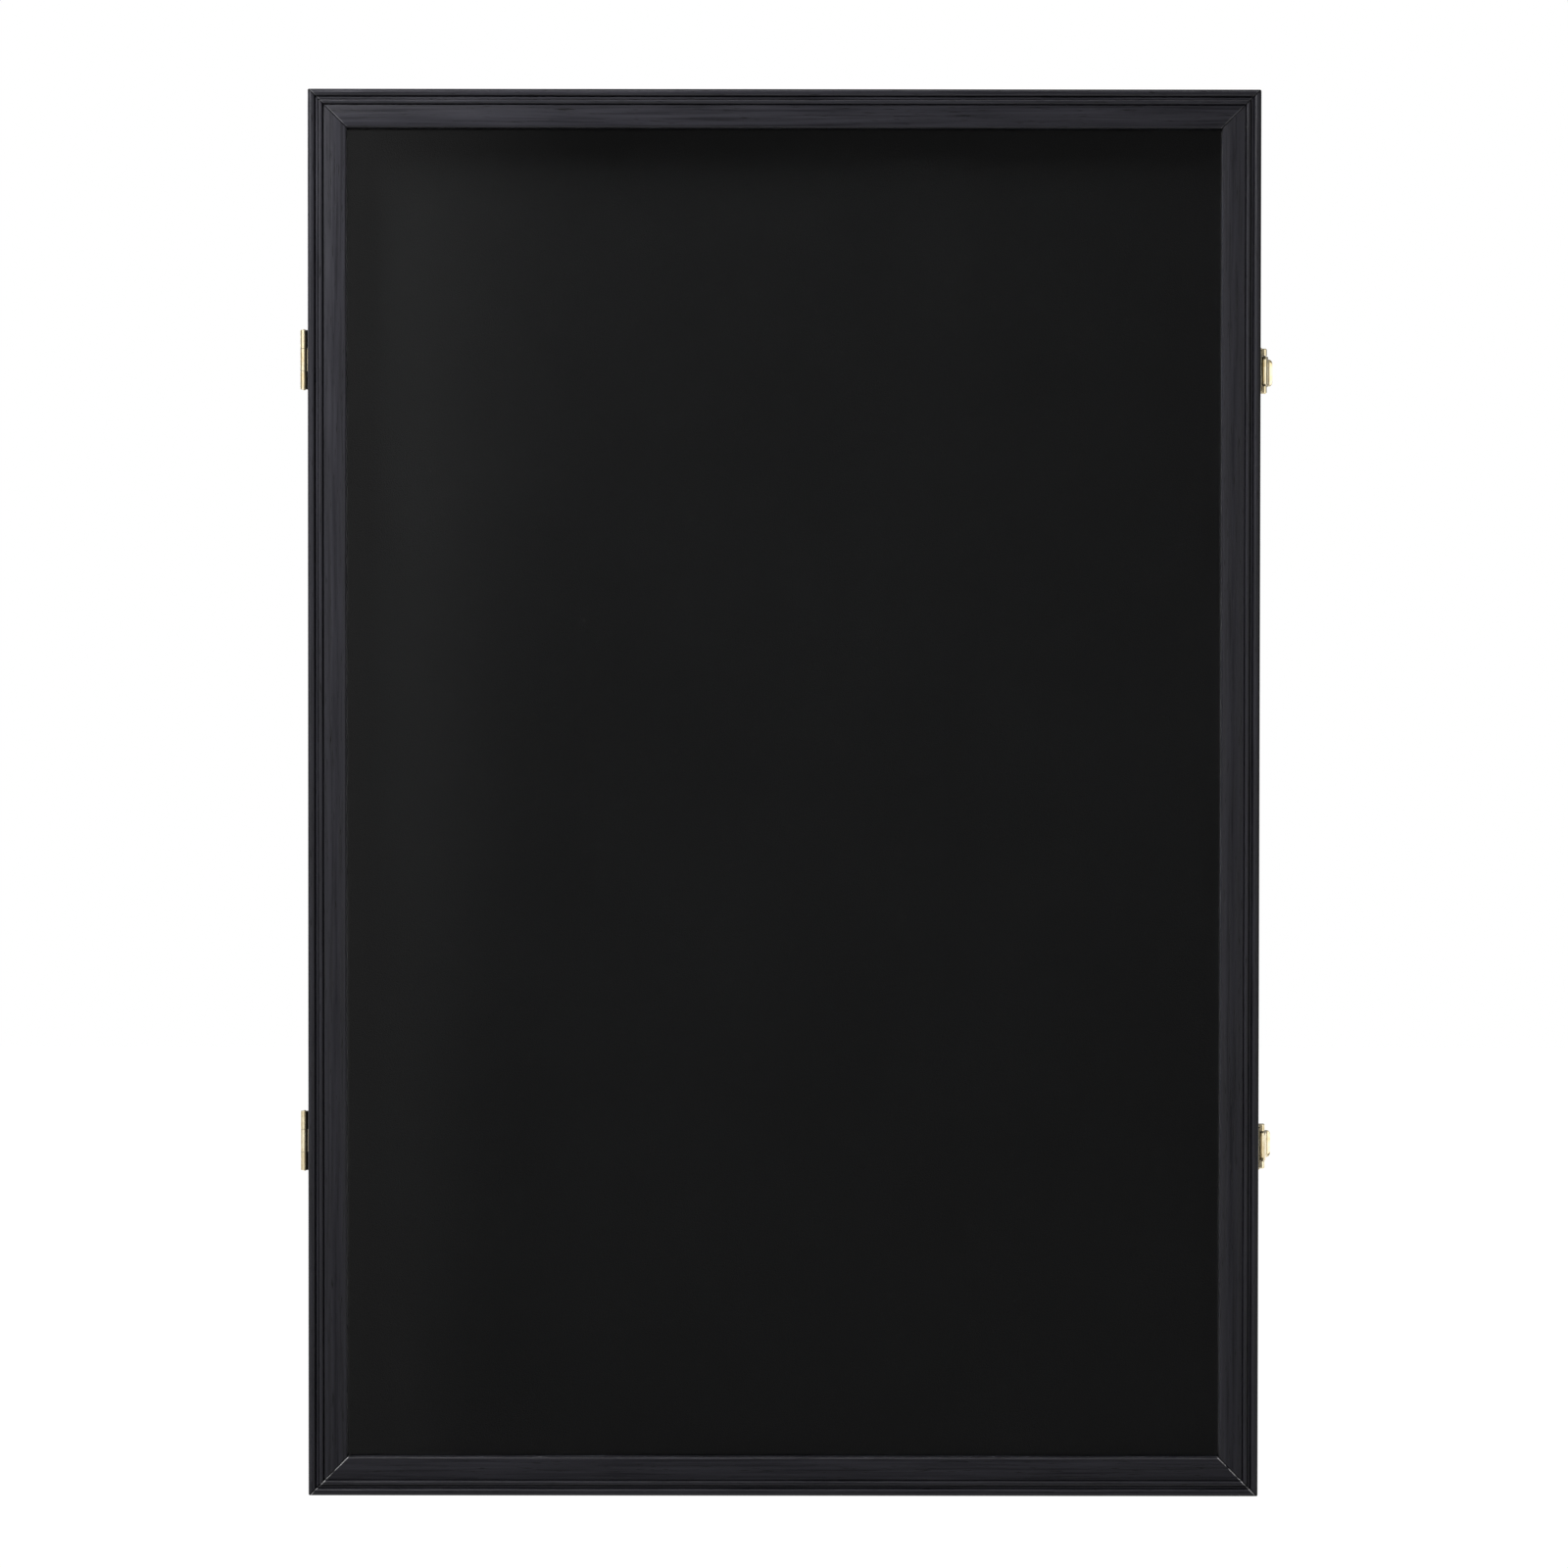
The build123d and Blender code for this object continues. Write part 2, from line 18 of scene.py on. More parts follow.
import bpy
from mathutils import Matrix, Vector

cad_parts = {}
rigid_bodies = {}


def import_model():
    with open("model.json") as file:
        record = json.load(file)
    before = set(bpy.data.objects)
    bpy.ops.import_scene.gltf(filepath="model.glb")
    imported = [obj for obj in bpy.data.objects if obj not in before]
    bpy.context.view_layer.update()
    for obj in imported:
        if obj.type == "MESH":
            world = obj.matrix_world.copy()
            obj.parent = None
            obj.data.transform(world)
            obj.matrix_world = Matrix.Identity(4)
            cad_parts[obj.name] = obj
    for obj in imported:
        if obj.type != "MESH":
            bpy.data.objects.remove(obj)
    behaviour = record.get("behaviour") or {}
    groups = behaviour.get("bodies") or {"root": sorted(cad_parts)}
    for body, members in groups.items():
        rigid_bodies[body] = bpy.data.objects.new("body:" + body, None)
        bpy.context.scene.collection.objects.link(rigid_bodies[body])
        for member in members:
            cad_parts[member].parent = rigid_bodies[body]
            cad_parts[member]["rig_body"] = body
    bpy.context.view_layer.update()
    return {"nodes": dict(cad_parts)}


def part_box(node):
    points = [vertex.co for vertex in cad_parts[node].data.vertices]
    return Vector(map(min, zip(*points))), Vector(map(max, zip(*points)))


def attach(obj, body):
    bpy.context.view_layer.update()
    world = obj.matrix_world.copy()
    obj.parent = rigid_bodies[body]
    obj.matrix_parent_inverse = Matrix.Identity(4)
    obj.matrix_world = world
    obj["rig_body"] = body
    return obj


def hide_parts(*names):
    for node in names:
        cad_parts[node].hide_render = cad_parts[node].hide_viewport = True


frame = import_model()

body_of_node = {node: obj["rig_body"] for node, obj in frame["nodes"].items()}


def in_mm(lengths):
    """Lengths in metres as round millimetres, for the printed lines."""
    return [round(value * 1000, 1) for value in lengths]


# %% [markdown]
# ## The camera
#
# The photograph looks straight at the door from about three metres, so the rails stay
# parallel. The top is half a percent wider than the bottom, which says that the camera
# stood slightly above the middle and looked down by one degree. One pixel of the
# photograph is 0.628 mm on the front of the door, and that fixes the lens: a long one,
# since a short lens from nearby would show the inner sides of the moulding.

# %% Camera
photo_pixels = 1600
pixel_size = 0.0006278
camera_distance = 3.0
camera_pitch = math.radians(1.0)
camera_roll = math.radians(-0.06)
aim_right = 0.1 * pixel_size
aim_up = 10.6 * pixel_size
sensor = 36.0

door_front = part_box("door_rail_left")[0].y
aim = Vector((aim_right, door_front, aim_up))
view_back = Vector((0, -math.cos(camera_pitch), math.sin(camera_pitch)))

bpy.ops.object.camera_add(
    location=aim + view_back * camera_distance,
    rotation=(math.pi / 2 - camera_pitch, camera_roll, 0),
)
camera = bpy.context.object
camera.name = "front_camera"
camera.data.sensor_width = sensor
camera.data.lens = sensor * camera_distance / (photo_pixels * pixel_size)
bpy.context.scene.camera = camera
print("lens", round(camera.data.lens, 1), "mm")

# %% [markdown]
# ## A white studio with a dark cloth behind the camera
#
# A glossy black thing shows what stands round it more than its own colour. The world
# is white where the camera looks at it, directly or through clear acrylic. As a source
# of light it is dim, and the lamps do the lighting. In mirrors it is a dim room with two
# helpers in front of the case. Straight ahead the door would mirror white and turn
# grey, so photographers hang a dark cloth behind the camera, here one that is paler on
# its left, as the pane shows. A strip of light on each side of the cloth draws the
# bright edges on the moulding and the brass. Low down the mirrored room fades into the
# floor's brightness, so that the floor's near edge draws no line across the pane. Only
# reflections see all this: a ray that has been mirrored once has a glossy depth above
# zero.

# %% World
def add_node(tree, kind, **settings):
    """A node of the kind in the tree, with its settings and unlinked inputs."""
    made = tree.nodes.new(kind)
    for name, value in settings.items():
        if name in made.inputs:
            made.inputs[name].default_value = value
        else:
            setattr(made, name, value)
    return made


def calculate(tree, operation, first, second):
    """A sum, product or comparison of two sockets or numbers."""
    made = add_node(tree, "ShaderNodeMath", operation=operation)
    for place, value in zip(made.inputs, (first, second)):
        if isinstance(value, (int, float)):
            place.default_value = value
        else:
            tree.links.new(value, place)
    return made.outputs[0]


# Most values of a noise texture lie between these
noise_low = 0.3
noise_high = 0.7


def spread_between(tree, value, low, high, from_low=noise_low, from_high=noise_high, steps="LINEAR"):
    """The value moved from its own range into the one from low to high, and kept in it."""
    made = add_node(tree, "ShaderNodeMapRange", interpolation_type=steps)
    for name, number in {"From Min": from_low, "From Max": from_high}.items():
        made.inputs[name].default_value = number
    for name, number in {"To Min": low, "To Max": high}.items():
        if isinstance(number, (int, float)):
            made.inputs[name].default_value = number
        else:
            tree.links.new(number, made.inputs[name])
    tree.links.new(value, made.inputs["Value"])
    return made.outputs["Result"]


# The depth of a ray is a whole number, so this parts none from one
half_bounce = 0.5


def looked_at(tree):
    """One for rays from the camera, from a mirror or through something clear, else zero."""
    path = add_node(tree, "ShaderNodeLightPath").outputs
    sharp = calculate(tree, "MAXIMUM", path["Is Camera Ray"], path["Is Glossy Ray"])
    sharp = calculate(tree, "MAXIMUM", sharp, path["Is Transmission Ray"])
    direct = calculate(tree, "LESS_THAN", path["Diffuse Depth"], half_bounce)
    return calculate(tree, "MULTIPLY", sharp, direct)


# Each pair is a range of the view direction, whose parts run from -1 to 1, in which one
# light fades into the next
world_light = 0.03
cloth_dark = 0.066
cloth_pale = 0.28
cloth_pale_side = (-0.996, 0.0, 0.087)
cloth_pale_range = (0.045, 0.13)
cloth_edge = (-0.45, -0.8)
room_light = 0.4
wall_light = 0.25
wall_edge = (0.0, 0.3)
strip_light = 1.5
strip_start = (0.1, 0.16)
strip_end = (0.8, 0.93)
strip_reach = (0.1, 0.2)
ground_light = 1.05
ground_slope = 0.8
ground_fade = (0.0, 0.35)
ground_below = (-0.3, -0.1)

world = bpy.data.worlds.new("white_studio")
bpy.context.scene.world = world
world.use_nodes = True
sky = world.node_tree
direction = add_node(sky, "ShaderNodeTexCoord").outputs["Generated"]
to_pale_side = add_node(sky, "ShaderNodeVectorMath", operation="DOT_PRODUCT")
to_pale_side.inputs[1].default_value = cloth_pale_side
sky.links.new(direction, to_pale_side.inputs[0])
cloth_light = spread_between(
    sky, to_pale_side.outputs["Value"], cloth_dark, cloth_pale, *cloth_pale_range, steps="SMOOTHSTEP"
)
parts = add_node(sky, "ShaderNodeSeparateXYZ")
sky.links.new(direction, parts.inputs[0])
room = spread_between(sky, parts.outputs["Y"], room_light, wall_light, *wall_edge)
cloth_share = spread_between(sky, parts.outputs["Y"], 0.0, 1.0, *cloth_edge)
cloth = add_node(sky, "ShaderNodeMix")
for name, value in {"Factor": cloth_share, "A": room, "B": cloth_light}.items():
    sky.links.new(value, cloth.inputs[name])
steepness = calculate(sky, "MULTIPLY", calculate(sky, "ABSOLUTE", parts.outputs["Y"], 0), ground_slope)
above_ground = calculate(sky, "ADD", parts.outputs["Z"], steepness)
ground = calculate(
    sky, "MULTIPLY",
    spread_between(sky, above_ground, 1.0, 0.0, *ground_fade, steps="SMOOTHSTEP"),
    spread_between(sky, parts.outputs["Z"], 1.0, 0.0, *ground_below),
)
cloth_and_ground = spread_between(sky, ground, cloth.outputs["Result"], ground_light, 0.0, 1.0)
aside = calculate(sky, "ABSOLUTE", parts.outputs["X"], 0)
strips = calculate(sky, "LESS_THAN", parts.outputs["Y"], 0)
for edge in (
    spread_between(sky, aside, 0.0, 1.0, *strip_start),
    spread_between(sky, aside, 1.0, 0.0, *strip_end),
    spread_between(sky, calculate(sky, "ABSOLUTE", parts.outputs["Z"], 0), 1.0, 0.0, *strip_reach),
):
    strips = calculate(sky, "MULTIPLY", strips, edge)
in_front = spread_between(sky, strips, cloth_and_ground, strip_light, 0.0, 1.0)
glossy_depth = add_node(sky, "ShaderNodeLightPath").outputs["Glossy Depth"]
mirrored = calculate(sky, "GREATER_THAN", glossy_depth, half_bounce)
seen_light = spread_between(sky, mirrored, 1.0, in_front, 0.0, 1.0)
strength = spread_between(sky, looked_at(sky), world_light, seen_light, 0.0, 1.0)
sky.nodes["Background"].inputs["Color"].default_value = (1, 1, 1, 1)
sky.links.new(strength, sky.nodes["Background"].inputs["Strength"])
bpy.context.scene.view_settings.view_transform = "Standard"
print("world light", world_light, "cloth light", cloth_dark, "to", cloth_pale)

# %% [markdown]
# ## The floor
#
# The case hangs on a wall, so the floor lies well below it. It ends between the case
# and the camera, since a nearer floor would be mirrored in the pane and spoil the dark
# cloth. Most of what the camera sees of it is an even white, and a share is lit paint,
# which keeps the shadow of the case.

# %% Floor
floor_height = -1.2
floor_width = 24.0
floor_near = -1.4
floor_far = 14.0
floor_glow = 0.85
floor_white = 1.2
floor_paint_colour = (0.9, 0.9, 0.9, 1)

bpy.ops.object.select_all(action="DESELECT")
bpy.ops.mesh.primitive_plane_add(size=1.0, location=(0, (floor_near + floor_far) / 2, floor_height))
floor = bpy.context.object
floor.name = "studio_floor"
floor.scale = (floor_width, floor_far - floor_near, 1)
floor_paint = bpy.data.materials.new("studio_floor")
floor_paint.use_nodes = True
tree = floor_paint.node_tree
lit = tree.nodes["Principled BSDF"]
lit.inputs["Base Color"].default_value = floor_paint_colour
lit.inputs["Roughness"].default_value = 1.0
lit.inputs["Specular IOR Level"].default_value = 0.0
glow = add_node(tree, "ShaderNodeEmission", Color=(1, 1, 1, 1), Strength=floor_white)
mix = add_node(tree, "ShaderNodeMixShader")
tree.links.new(calculate(tree, "MULTIPLY", looked_at(tree), floor_glow), mix.inputs[0])
tree.links.new(lit.outputs[0], mix.inputs[1])
tree.links.new(glow.outputs[0], mix.inputs[2])
tree.links.new(mix.outputs[0], tree.nodes["Material Output"].inputs["Surface"])
floor.data.materials.append(floor_paint)
print("floor", floor_height, "m, from", floor_near, "to", floor_far)

# %% [markdown]
# ## Lamps
#
# In the photograph the upper left corner is the brightest and the lower right the
# darkest, in the felt as well as in the wood. A soft lamp close to the upper left gives
# that fall-off, because light weakens quickly near its lamp. A second one, weaker and
# lower on the right, keeps the far side of the moulding from going out. It would show
# in the pane as a pale rectangle from the left, so mirrors don't see it. A long one
# above draws the thin lines of light on the beads of the top rail. The last one stands
# behind the case and lights the back board for whoever walks round it.

# %% Lamps
# Each lamp's place, width, height and watts, and whether mirrors show it
lamps = {
    "key_lamp": ((-0.7, -0.75, 0.85), 0.45, 0.45, 12.6, True),
    "fill_lamp": ((2.0, -1.8, -0.2), 1.0, 1.4, 0.8, False),
    "top_lamp": ((0.0, -0.7, 2.2), 1.6, 0.5, 8, True),
    "back_lamp": ((-1.3, 2.2, 1.0), 1.2, 1.2, 14, True),
}


def soft_lamp(name, place, width, height, watts, in_mirrors):
    """A rectangular soft lamp that points at the middle of the case, and that only mirrors may show."""
    bpy.ops.object.light_add(type="AREA", location=place)
    lamp = bpy.context.object
    lamp.name = name
    lamp.data.shape = "RECTANGLE"
    lamp.data.size = width
    lamp.data.size_y = height
    lamp.data.energy = watts
    lamp.rotation_euler = (-Vector(place)).to_track_quat("-Z", "Y").to_euler()
    lamp.visible_camera = False
    lamp.visible_glossy = in_mirrors


for name, settings in lamps.items():
    soft_lamp(name, *settings)
print("lamps:", ", ".join(lamps))

# %% [markdown]
# ## Black paint on wood
#
# The rails are wood with a thin coat of satin black that leans to blue. The coat is so
# thin that the grain still shows as faint streaks along each rail and as small open
# pores. Grain is noise that is stretched along the rail, so the rails that run across
# and those that run up each need their own material: with one material for all, the
# grain would run across half of the rails. The colour hardly changes. What shows the
# grain is the change of roughness and a shallow bump.
#
# Where two rails meet, the paint has opened along the mitre. The joint is a dark line
# that mirrors nothing, and beside it the sharp edge carries a painted highlight in short
# pale dashes, more of them at the foot of the door than at its top. Both are worked out
# from the place on the frame, so they stay sharp at any distance, and the painted
# highlight is kept to the front of the door.

# %% Helpers for finishes
def new_finish(name):
    """A material with nodes, with its tree, shader and the object's own coordinates."""
    made = bpy.data.materials.new(name)
    made.use_nodes = True
    coordinates = add_node(made.node_tree, "ShaderNodeTexCoord")
    return made, made.node_tree, made.node_tree.nodes["Principled BSDF"], coordinates.outputs["Object"]


evenly = (1.0, 1.0, 1.0)


def stretched_noise(tree, place, stretch, scale, detail=3.0):
    """Noise whose spots are pulled long by the stretch; its value is between 0 and 1."""
    mapping = add_node(tree, "ShaderNodeMapping", Scale=stretch)
    noise = add_node(tree, "ShaderNodeTexNoise", Scale=scale, Detail=detail)
    tree.links.new(place, mapping.inputs["Vector"])
    tree.links.new(mapping.outputs["Vector"], noise.inputs["Vector"])
    return noise.outputs["Fac"]


def blend_colours(tree, value, dark, light):
    """A colour between dark and light, chosen by the value."""
    made = add_node(tree, "ShaderNodeMix", data_type="RGBA")
    made.inputs["A"].default_value = (*dark, 1)
    made.inputs["B"].default_value = (*light, 1)
    tree.links.new(value, made.inputs["Factor"])
    return made.outputs["Result"]


def add_relief(tree, shader, layers):
    """Bumps on the shader, one above the other; each layer is a value and its height in metres."""
    below = None
    for value, height in layers:
        bump = add_node(tree, "ShaderNodeBump", Distance=height)
        bump.inputs["Strength"].default_value = 1.0
        tree.links.new(value, bump.inputs["Height"])
        if below is not None:
            tree.links.new(below, bump.inputs["Normal"])
        below = bump.outputs["Normal"]
    tree.links.new(below, shader.inputs["Normal"])


# %% The mitre joints
frame_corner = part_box("door_rail_top")[1]
# How far beside the mitre a line lies, and how far it fades to both sides, in metres
seam_joint = (-0.0003, 0.0006)
seam_edge = (0.0006, 0.0007)
# A pale painted highlight on the edge beside the joint, weaker at the top and kept to the front of the door
seam_highlight_colour = (0.8, 0.8, 0.81)
seam_break_scale = 240
seam_break_edge = (0.38, 0.52)
seam_highlight_at_top = 0.1
seam_highlight_front = -0.04
seam_depth = 0.0002


def mitre_seam(tree, place):
    """Two values that are one on a line along each mitre: the open joint, and the painted highlight on the
    edge beside it.
    """
    parts = add_node(tree, "ShaderNodeSeparateXYZ")
    tree.links.new(place, parts.inputs[0])
    across = calculate(tree, "ABSOLUTE", parts.outputs["X"], 0)
    up = calculate(tree, "ABSOLUTE", parts.outputs["Z"], 0)
    slant = calculate(tree, "SUBTRACT", up, across)
    off = calculate(tree, "SUBTRACT", slant, frame_corner.z - frame_corner.x)
    lines = []
    for middle, reach in (seam_joint, seam_edge):
        distance = calculate(tree, "ABSOLUTE", calculate(tree, "SUBTRACT", off, middle), 0)
        lines.append(spread_between(tree, distance, 1.0, 0.0, 0.0, reach, steps="SMOOTHSTEP"))
    spots = stretched_noise(tree, place, evenly, seam_break_scale)
    breaks = spread_between(tree, spots, 0.0, 1.0, *seam_break_edge)
    # The painted highlight is strongest at the foot of the door and only on its front
    height = parts.outputs["Z"]
    low_down = spread_between(tree, height, 1.0, seam_highlight_at_top, -frame_corner.z, frame_corner.z)
    highlit_edge = calculate(tree, "LESS_THAN", parts.outputs["Y"], seam_highlight_front)
    for share in (lines[1], breaks, low_down):
        highlit_edge = calculate(tree, "MULTIPLY", highlit_edge, share)
    return lines[0], highlit_edge


print("the mitres end at, in mm across and up:", in_mm((frame_corner.x, frame_corner.z)))

# %% Black paint
# A scale is about the number of spots in a metre, and a height is in metres
paint_dark = (0.020, 0.0196, 0.0246)
paint_light = (0.042, 0.0412, 0.0515)
paint_hollow = (0.002, 0.002, 0.002)
paint_roughness = (0.2, 0.34)
paint_smears = 0.06
paint_shine = 0.22
streak_scale = 520
streak_squeeze = 0.025
streak_height = 0.00016
pore_scale = 1300
pore_squeeze = 0.07
pore_colour_edge = (0.62, 0.74)
pore_relief_edge = (0.6, 0.74)
pore_height = 0.00006
smear_scale = 22


def along_axis(axis, squeeze):
    """The stretch that pulls a pattern long on one axis."""
    stretch = list(evenly)
    stretch[axis] = squeeze
    return stretch


def cover(tree, below, colour, share):
    """The colour laid over the one below where the share is one."""
    made = add_node(tree, "ShaderNodeMix", data_type="RGBA")
    made.inputs["B"].default_value = (*colour, 1)
    tree.links.new(share, made.inputs["Factor"])
    tree.links.new(below, made.inputs["A"])
    return made.outputs["Result"]


def black_paint_on_wood(name, grain_axis):
    """Satin black paint over wood whose grain runs along the axis: 0 across, 2 up."""
    made, tree, paint, place = new_finish(name)
    streaks = stretched_noise(tree, place, along_axis(grain_axis, streak_squeeze), streak_scale, detail=4.0)
    pores = stretched_noise(tree, place, along_axis(grain_axis, pore_squeeze), pore_scale, detail=2.0)
    smears = stretched_noise(tree, place, evenly, smear_scale)
    joint, highlit_edge = mitre_seam(tree, place)

    tint = blend_colours(tree, spread_between(tree, streaks, 0, 1), paint_dark, paint_light)
    hollow = calculate(tree, "MAXIMUM", spread_between(tree, pores, 0.0, 1.0, *pore_colour_edge), joint)
    # The dark joint and pores, then the pale painted highlight along the mitre's edge
    tint = cover(tree, cover(tree, tint, paint_hollow, hollow), seam_highlight_colour, highlit_edge)
    tree.links.new(tint, paint.inputs["Base Color"])

    streaky = spread_between(tree, streaks, *paint_roughness)
    smeared = spread_between(tree, smears, 0.0, paint_smears)
    tree.links.new(calculate(tree, "ADD", streaky, smeared), paint.inputs["Roughness"])
    shine = spread_between(tree, joint, paint_shine, 0.0, 0.0, 1.0)
    tree.links.new(shine, paint.inputs["Specular IOR Level"])
    add_relief(tree, paint, [
        (streaks, streak_height),
        (spread_between(tree, pores, 1.0, 0.0, *pore_relief_edge), pore_height),
        (calculate(tree, "SUBTRACT", highlit_edge, joint), seam_depth),
    ])
    return made


# %% Paint on the rails
def give(material, *nodes):
    """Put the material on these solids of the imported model."""
    for name in nodes:
        for place in frame["nodes"][name].material_slots:
            place.material = material


paint_across = black_paint_on_wood("black_paint_grain_across", 0)
paint_up = black_paint_on_wood("black_paint_grain_up", 2)
frames = ("box_rail", "door_rail", "glazing_strip")
for rail in frames:
    give(paint_across, f"{rail}_top", f"{rail}_bottom")
    give(paint_up, f"{rail}_left", f"{rail}_right")
print("painted rails and strips:", 4 * len(frames))

# %% [markdown]
# ## The back board
#
# The back is hardboard, pressed on a wire screen, which leaves a fine waffle on its
# rough side, and stained black. Two waves at right angles make the waffle. Its dimples
# are less than two millimetres apart, so the pattern only shows close by.

# %% Back board
screen_pitch = 0.0016
screen_wobble = 0.4
# The angle in radians that a wave of scale one runs through in a metre
wave_angle = 20
board_dark = (0.012, 0.011, 0.011)
board_light = (0.024, 0.022, 0.021)
board_roughness = (0.68, 0.88)
waffle_height = 0.00012
fibre_scale = 700
fibre_height = 0.00008
blotch_scale = 9


def screen_wave(tree, place, direction):
    """Ridges of the wire screen, one pitch apart along the direction."""
    wave = add_node(tree, "ShaderNodeTexWave", bands_direction=direction, wave_profile="SIN")
    wave.inputs["Scale"].default_value = 2 * math.pi / (wave_angle * screen_pitch)
    wave.inputs["Distortion"].default_value = screen_wobble
    wave.inputs["Detail"].default_value = 1.0
    tree.links.new(place, wave.inputs["Vector"])
    return wave.outputs["Fac"]


board, tree, shader, place = new_finish("black_hardboard")
waffle = calculate(tree, "MULTIPLY", screen_wave(tree, place, "X"), screen_wave(tree, place, "Z"))
fibres = stretched_noise(tree, place, evenly, fibre_scale)
blotches = stretched_noise(tree, place, evenly, blotch_scale)
board_tint = blend_colours(tree, spread_between(tree, blotches, 0, 1), board_dark, board_light)
tree.links.new(board_tint, shader.inputs["Base Color"])
tree.links.new(spread_between(tree, fibres, *board_roughness), shader.inputs["Roughness"])
add_relief(tree, shader, [(waffle, waffle_height), (fibres, fibre_height)])
give(board, "back_panel")
print("waffle every", screen_pitch * 1000, "mm")

# %% [markdown]
# ## Clear acrylic
#
# The pane is two millimetres of acrylic. It bends light a little less than glass does,
# and a real one carries faint cloth marks, so its gloss isn't perfectly even. A lamp's
# light would be stopped by it, because a path tracer finds a small lamp through
# refraction only by luck. The pane is therefore left out of the shadows, and the felt
# behind it is lit as if the pane were open.

# %% Acrylic pane
pane_tint = (0.97, 0.985, 0.98, 1)
pane_ior = 1.49
wipe_stretch = (1, 1, 0.35)
wipe_scale = 30
wipe_edge = (0.45, 0.8)
wipe_roughness = 0.035

acrylic, tree, shader, place = new_finish("clear_acrylic")
shader.inputs["Base Color"].default_value = pane_tint
shader.inputs["Transmission Weight"].default_value = 1.0
shader.inputs["IOR"].default_value = pane_ior
wipe_marks = stretched_noise(tree, place, wipe_stretch, wipe_scale, detail=5.0)
wiped = spread_between(tree, wipe_marks, 0.0, wipe_roughness, *wipe_edge)
tree.links.new(wiped, shader.inputs["Roughness"])
give(acrylic, "door_pane")
frame["nodes"]["door_pane"].visible_shadow = False
print("index of refraction", pane_ior)

# %% [markdown]
# ## Brass, zinc and rubber
#
# Hinges and latches are pressed from sheet brass and polished: a warm metal, nearly a
# mirror, with a few dull smudges and fine scratches. The hinges shine less than the
# latches, so they get the same colours with more roughness. Where parts meet and in the
# crevices, the colour is painted darker as painted shade: an ambient occlusion node finds
# these places, as it measures how much of the space near a point is open. The hangers,
# nails and brads on the hidden side are zinc plated, which is a cool grey with pale
# crystal spots. The two bumpers are soft black rubber.

# %% Metals
brass_colours = ((0.80, 0.66, 0.40), (0.96, 0.86, 0.62))
zinc_colours = ((0.40, 0.41, 0.43), (0.66, 0.67, 0.69))
scratch_scale = 4200
scratch_squeeze = 0.04
scratch_height = 0.000012
# Painted shade: an ambient occlusion node darkens the metal's colour in crevices within this reach
crevice_reach = 0.005
crevice_edge = (0.4, 0.95)
crevice_samples = 8


def polished_metal(
    name, dark, light, low_roughness, high_roughness, smudge_scale, scratch_axis, crevice_shade=1.0
):
    """A polished metal with smudges and scratches, whose crevices get this share of the dark colour as
    painted shade.
    """
    made, tree, metal, place = new_finish(name)
    metal.inputs["Metallic"].default_value = 1.0
    smudges = stretched_noise(tree, place, evenly, smudge_scale, detail=4.0)
    scratch_stretch = along_axis(scratch_axis, scratch_squeeze)
    scratches = stretched_noise(tree, place, scratch_stretch, scratch_scale, detail=2.0)
    space = add_node(tree, "ShaderNodeAmbientOcclusion", samples=crevice_samples, Distance=crevice_reach)
    painted_crevice_shade = spread_between(tree, space.outputs["AO"], 1.0, 0.0, *crevice_edge)
    tint = blend_colours(tree, spread_between(tree, smudges, 0, 1), dark, light)
    # Painted shade: the crevices take the dark colour times crevice_shade
    tint = cover(tree, tint, [value * crevice_shade for value in dark], painted_crevice_shade)
    tree.links.new(tint, metal.inputs["Base Color"])
    tree.links.new(spread_between(tree, smudges, high_roughness, low_roughness), metal.inputs["Roughness"])
    add_relief(tree, metal, [(scratches, scratch_height)])
    return made


brass = polished_metal(
    "polished_brass", *brass_colours,
    low_roughness=0.06, high_roughness=0.14, smudge_scale=260, scratch_axis=2, crevice_shade=0.1,
)
worn_brass = polished_metal(
    "handled_brass", *brass_colours,
    low_roughness=0.27, high_roughness=0.37, smudge_scale=260, scratch_axis=2, crevice_shade=0.1,
)
zinc = polished_metal(
    "zinc_plate", *zinc_colours,
    low_roughness=0.22, high_roughness=0.42, smudge_scale=420, scratch_axis=0,
)
print("metals:", brass.name, worn_brass.name, zinc.name)

# %% Metals in their places, and rubber
rubber_dark = (0.014, 0.014, 0.015)
rubber_light = (0.03, 0.03, 0.031)
rubber_roughness = (0.55, 0.75)
grit_scale = 1800
grit_height = 0.00003

for side in ("upper", "lower"):
    give(worn_brass, f"{side}_hinge_box_leaf", f"{side}_hinge_door_leaf", f"{side}_hinge_pin")
    give(brass, f"{side}_latch_base", f"{side}_latch_lever", f"{side}_latch_pin", f"{side}_latch_strike")
give(zinc, "left_wall_hanger", "right_wall_hanger", "wall_hanger_nails")
give(zinc, "box_v_nails", "door_v_nails", "glazing_brads")

rubber, tree, shader, place = new_finish("black_rubber")
grit = stretched_noise(tree, place, evenly, grit_scale)
rubber_tint = blend_colours(tree, spread_between(tree, grit, 0, 1), rubber_dark, rubber_light)
tree.links.new(rubber_tint, shader.inputs["Base Color"])
tree.links.new(spread_between(tree, grit, *rubber_roughness), shader.inputs["Roughness"])
add_relief(tree, shader, [(grit, grit_height)])
bumpers = ("left_wall_bumper", "right_wall_bumper")
give(rubber, *bumpers)
print("rubber on:", ", ".join(bumpers))

# %% [markdown]
# ## The felt
#
# Felt is pressed wool, about a millimetre thick, pulled flat over the back board and
# glued. It isn't a slab: its surface lies in very shallow waves, its cut edge is
# rounded and a little thinner, and its nap takes light softly. The sheet starts as a
# grid at the size of the cut, is given its thickness by Solidify, and its rim is
# pressed down in edit mode.

# %% Felt sheet
felt_low, felt_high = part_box("felt_lining")
felt_width = felt_high.x - felt_low.x
felt_length = felt_high.z - felt_low.z
felt_thickness = felt_high.y - felt_low.y
felt_cell = 0.006
felt_wave = 0.00012
felt_wave_size = 0.06
felt_rim = 0.0007

